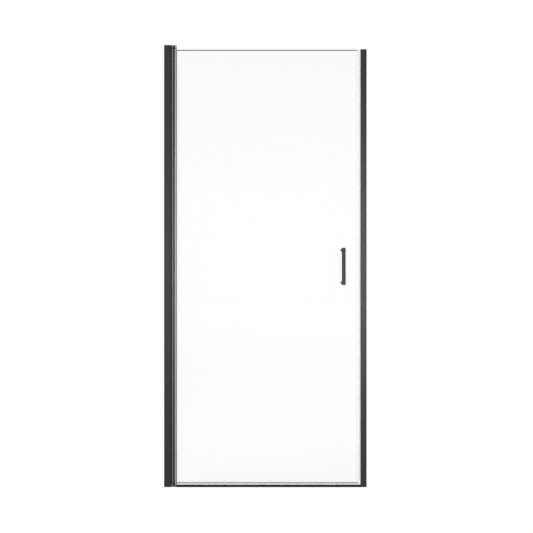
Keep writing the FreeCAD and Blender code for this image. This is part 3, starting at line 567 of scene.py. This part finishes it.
class SHOWERDOOR_OT_frame(bpy.types.Operator):
    """Black finishes of the wall profiles, post, rail, pivot blocks, threshold and end caps."""

    bl_idname = "shower_door.frame"
    bl_label = "Finish frame"

    def execute(self, context):
        colours = context.scene.shower_door_finishes
        satin = powder_coat("satin_black_coat", colours.black, roughness=0.42, shine=0.37)
        # The smooth coat carries the painted highlight along the barrel's flats.
        smooth = powder_coat("smooth_black_coat_painted_highlight", colours.black, roughness=0.3, shine=0.5,
                             painted_highlight_span=PAINTED_HIGHLIGHT_LINE, painted_highlight_colour=colours.painted_highlight_grey)
        matt = powder_coat("matt_black_coat", colours.sill_black, roughness=0.6, shine=0.02)
        dress(COATED_PROFILES, satin)
        dress(POLISHED_PROFILES, smooth)
        dress(MATT_PROFILES, matt)
        dress(MOULDED_PIECES, moulded_plastic("grained_black_plastic", colours.black))
        return {"FINISHED"}


class SHOWERDOOR_OT_glass(bpy.types.Operator):
    """Clear glass leaf with ground edges, and the finish of the setting blocks and the sealing tape."""

    bl_idname = "shower_door.glass"
    bl_label = "Finish glass"

    def execute(self, context):
        colours = context.scene.shower_door_finishes
        width = context.scene.shower_door_shapes.edge_width
        glass = clear_glass("clear_toughened_glass", tuple(colours.glass), tuple(colours.glass_edge_shade),
                            colours.glass_cover, width)
        dress(("glass_panel",), glass)
        dress(RUBBER_PIECES, soft_rubber("cellular_black_rubber", colours.rubber))
        return {"FINISHED"}


class SHOWERDOOR_OT_seals(bpy.types.Operator):
    """Gaskets, nose trims and drip seal with soft lips, and the finishes of the magnetic and wiper seals."""

    bl_idname = "shower_door.seals"
    bl_label = "Make seals"

    def execute(self, context):
        colours = context.scene.shower_door_finishes
        radius = context.scene.shower_door_shapes.lip_radius
        dress(("post_wiper_seal",), extruded_vinyl("grey_vinyl", colours.grey))
        dress(("strike_magnet_seal",), extruded_vinyl("pale_vinyl", colours.pale))
        dress(("door_magnet_seal",), clear_vinyl("clear_vinyl", colours.mint, along="Z", cover=0.03))
        dress(MAGNET_STRIPS, magnet_strip("coated_magnet", colours.magnet))
        # The grey vinyl of the gaskets and trims carries painted shade on its lip.
        shade_lip_vinyl = extruded_vinyl("grey_vinyl_painted_shade_lip", colours.grey, PAINTED_SHADE_LIP_X)
        for side, sign in (("front", -1), ("rear", 1)):
            self.add_gasket(side, sign, radius, shade_lip_vinyl)
            self.add_nose_trims(side, sign, radius, shade_lip_vinyl)
        drip = clear_vinyl("drip_vinyl", colours.mint, along="X", cover=0.02, milky=(0.6, MILKY_TOP))
        self.add_drip_seal(radius, drip)
        return {"FINISHED"}

    def add_gasket(self, side, sign, radius, finish):
        """Hooked gasket between a jaw of the rail and the glass, swept along Z."""
        name = f"{side}_grip_gasket"
        stations = [(PIVOT_X, 0.0, corner.z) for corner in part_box(name)]
        outline = rounded([(a, sign * b) for a, b in GASKET_HALF_SECTION], radius)
        add_piece(f"{name}_soft", swept(outline, stations, "X", "Y"), finish, "door_leaf", "grey_pvc", name)

    def add_nose_trims(self, side, sign, radius, finish):
        """Covers of the pivot blocks' noses in line with the gasket's lip, swept along Z."""
        low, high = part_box("pivot_nose_trims")
        bottom_block, top_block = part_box("bottom_pivot_block"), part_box("top_pivot_block")
        spans = {"bottom": (low.z, bottom_block[1].z), "top": (top_block[0].z, high.z)}
        outline = rounded([(a, sign * b) for a, b in TRIM_HALF_SECTION], radius)
        for end, span in spans.items():
            stations = [(PIVOT_X, 0.0, z) for z in span]
            add_piece(f"{end}_{side}_nose_trim", swept(outline, stations, "X", "Y"), finish, "door_frame",
                      "grey_pvc", "pivot_nose_trims")

    def add_drip_seal(self, radius, finish):
        """Jacket under the glass with a soft fin and a drooping deflector, swept along X."""
        stations = [(corner.x, 0.0, 0.0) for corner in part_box("drip_seal")]
        shape = swept(rounded(DRIP_SECTION, radius), stations, "Y", "Z")
        add_piece("drip_seal_soft", shape, finish, "door_leaf", "clear_pvc", "drip_seal")


class SHOWERDOOR_OT_handle(bpy.types.Operator):
    """Pull handle with its rounded washers and dome caps."""

    bl_idname = "shower_door.handle"
    bl_label = "Make handle"

    def execute(self, context):
        colours = context.scene.shower_door_finishes
        sides = context.scene.shower_door_shapes.cap_sides
        coat = powder_coat("handle_coat", colours.handle_black, roughness=0.7, shine=0.08)
        washer = clear_vinyl("washer_vinyl", colours.mint, along="Y", cover=0.3)
        dress(("pull_handle",), coat)
        dress(("handle_sleeves",), washer)
        inwards = AXES["Z"], AXES["X"], AXES["Y"]
        radii, heights = WASHER_SECTION[:, :1], WASHER_SECTION[:, 1]
        for name, y in WASHER_START_Y.items():
            centres = [(x, y, z) for x, z in HANDLE_FEET]
            shape = turned(radii, heights, centres, *inwards, sides, bored=True)
            add_piece(f"{name}_soft", shape, washer, "door_leaf", "clear_pvc", name)
        centres = [(x, HANDLE_CAP_Y, z) for x, z in HANDLE_FEET]
        shape = turned(*dome(**HANDLE_CAP), centres, *inwards, sides)
        add_piece("handle_dome_caps", shape, coat, "door_leaf", "black_casting", "handle_caps")
        return {"FINISHED"}


class SHOWERDOOR_OT_fixings(bpy.types.Operator):
    """Pivot pins and bushes, screws with hexagon sockets and the domed covers of the lock screws."""

    bl_idname = "shower_door.fixings"
    bl_label = "Make fixings"

    def execute(self, context):
        colours = context.scene.shower_door_finishes
        sides = context.scene.shower_door_shapes.cap_sides
        steel = turned_steel("turned_steel", colours.steel)
        dress(STEEL_PIECES, steel)
        dress(NYLON_PIECES, turned_nylon("black_nylon", colours.nylon))
        plastic = moulded_plastic("cover_plastic", colours.black)
        shape = turned(*dome(**LOCK_CAP), LOCK_CAP_PLACES, AXES["Z"], AXES["X"], AXES["Y"], sides)
        add_piece("frame_screw_domes", shape, plastic, "door_frame", "black_plastic", "frame_screw_caps")
        low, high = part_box("pivot_block_screws")
        rings, heights = socket_screw(sides)
        ends = {"bottom": (low.z, (AXES["Y"], AXES["X"], -AXES["Z"])),
                "top": (high.z, (AXES["X"], AXES["Y"], AXES["Z"]))}
        for end, (z, outwards) in ends.items():
            centres = [(x, y, z) for x, y in BLOCK_SCREW_PLACES]
            shape = turned(rings, heights, centres, *outwards, sides)
            add_piece(f"{end}_socket_screws", shape, steel, "door_frame", "steel", "pivot_block_screws")
        return {"FINISHED"}


class SHOWERDOOR_OT_studio(bpy.types.Operator):
    """Pale floor, soft lights, white surround and the camera."""

    bl_idname = "shower_door.studio"
    bl_label = "Set up studio"

    def execute(self, context):
        studio = context.scene.shower_door_studio
        context.scene.view_settings.view_transform = "Standard"
        self.add_surround(context.scene, studio.surround)
        self.add_floor(context.scene, studio.floor_glow)
        self.add_light(context.scene, "side_light", studio.side_power, **SIDE_LIGHT)
        self.add_light(context.scene, "front_light", studio.front_power, **FRONT_LIGHT)
        self.add_light(context.scene, "strike_light", studio.strike_power, **STRIKE_LIGHT)
        self.add_camera(context.scene, studio.camera_place, studio.lens)
        return {"FINISHED"}

    def add_surround(self, scene, strength):
        """White world, dimmer where it only lights the object."""
        scene.world = bpy.data.worlds.new("white_surround")
        graph = Graph(scene.world, "Background")
        graph.shader.inputs["Color"].default_value = WHITE
        graph.feed("Strength", strength + (1 - strength) * graph.seen_directly())

    def add_floor(self, scene, glow):
        """Large pale floor that shines to the eye, so that it looks white and only shadows show on it."""
        finish = Finish("white_floor", Base_Color=tone(WHITE, FLOOR_GREY), Roughness=0.9,
                        Specular_IOR_Level=0.0, Emission_Strength=1.0)
        finish.feed("Emission Color", finish.blend(glow * finish.seen_directly(), BLACK, WHITE))
        mesh = bpy.data.meshes.new("studio_floor")
        mesh.from_pydata([(x, y, FLOOR_Z) for x, y in FLOOR_CORNERS], [], [range(len(FLOOR_CORNERS))])
        mesh.materials.append(finish.material)
        floor = bpy.data.objects.new("studio_floor", mesh)
        scene.collection.objects.link(floor)

    def add_light(self, scene, name, power, place, target, size, spread):
        """Rectangular soft light aimed at a point; a grid keeps it within a spread in degrees."""
        light = bpy.data.lights.new(name, "AREA")
        light.shape = "RECTANGLE"
        light.size, light.size_y = size
        light.energy = power
        light.spread = math.radians(spread)
        lamp = bpy.data.objects.new(name, light)
        lamp.location = place
        lamp.visible_camera = False
        x, y, z = np.subtract(target, place)
        lamp.rotation_euler = (math.atan2(math.hypot(x, y), -z), 0.0, math.atan2(-x, y))
        scene.collection.objects.link(lamp)

    def add_camera(self, scene, place, focal_length):
        """Level camera that looks along Y."""
        lens = bpy.data.cameras.new("front_camera")
        lens.lens = focal_length
        lens.sensor_width = SENSOR_WIDTH
        camera = bpy.data.objects.new("front_camera", lens)
        camera.location = place
        camera.rotation_euler = (math.pi / 2, 0.0, 0.0)
        scene.collection.objects.link(camera)
        scene.camera = camera


class SHOWERDOOR_PT_panel(bpy.types.Panel):
    """Sidebar panel with the steps in order and their settings."""

    bl_idname = "SHOWERDOOR_PT_panel"
    bl_label = "Shower door"
    bl_space_type = "VIEW_3D"
    bl_region_type = "UI"
    bl_category = "Shower door"

    def draw(self, context):
        for step in STEPS:
            self.layout.operator(step.bl_idname)
        for name, group in GROUPS.items():
            column = self.layout.column()
            for setting in group.__annotations__:
                column.prop(getattr(context.scene, name), setting)


STEPS = (SHOWERDOOR_OT_frame, SHOWERDOOR_OT_glass, SHOWERDOOR_OT_seals, SHOWERDOOR_OT_handle,
         SHOWERDOOR_OT_fixings, SHOWERDOOR_OT_studio)
GROUPS = {"shower_door_finishes": DoorFinishes, "shower_door_shapes": DoorShapes,
          "shower_door_studio": DoorStudio}


def register():
    """Register the settings, steps and panel."""
    for item in (*GROUPS.values(), *STEPS, SHOWERDOOR_PT_panel):
        bpy.utils.register_class(item)
    for name, group in GROUPS.items():
        setattr(bpy.types.Scene, name, bpy.props.PointerProperty(type=group))


def unregister():
    """Remove the settings, steps and panel."""
    for name in GROUPS:
        delattr(bpy.types.Scene, name)
    for item in (SHOWERDOOR_PT_panel, *reversed(STEPS), *GROUPS.values()):
        bpy.utils.unregister_class(item)


def main():
    """Run every step in order."""
    register()
    bpy.ops.shower_door.frame()
    bpy.ops.shower_door.glass()
    bpy.ops.shower_door.seals()
    bpy.ops.shower_door.handle()
    bpy.ops.shower_door.fixings()
    bpy.ops.shower_door.studio()


if __name__ == "__main__":
    main()
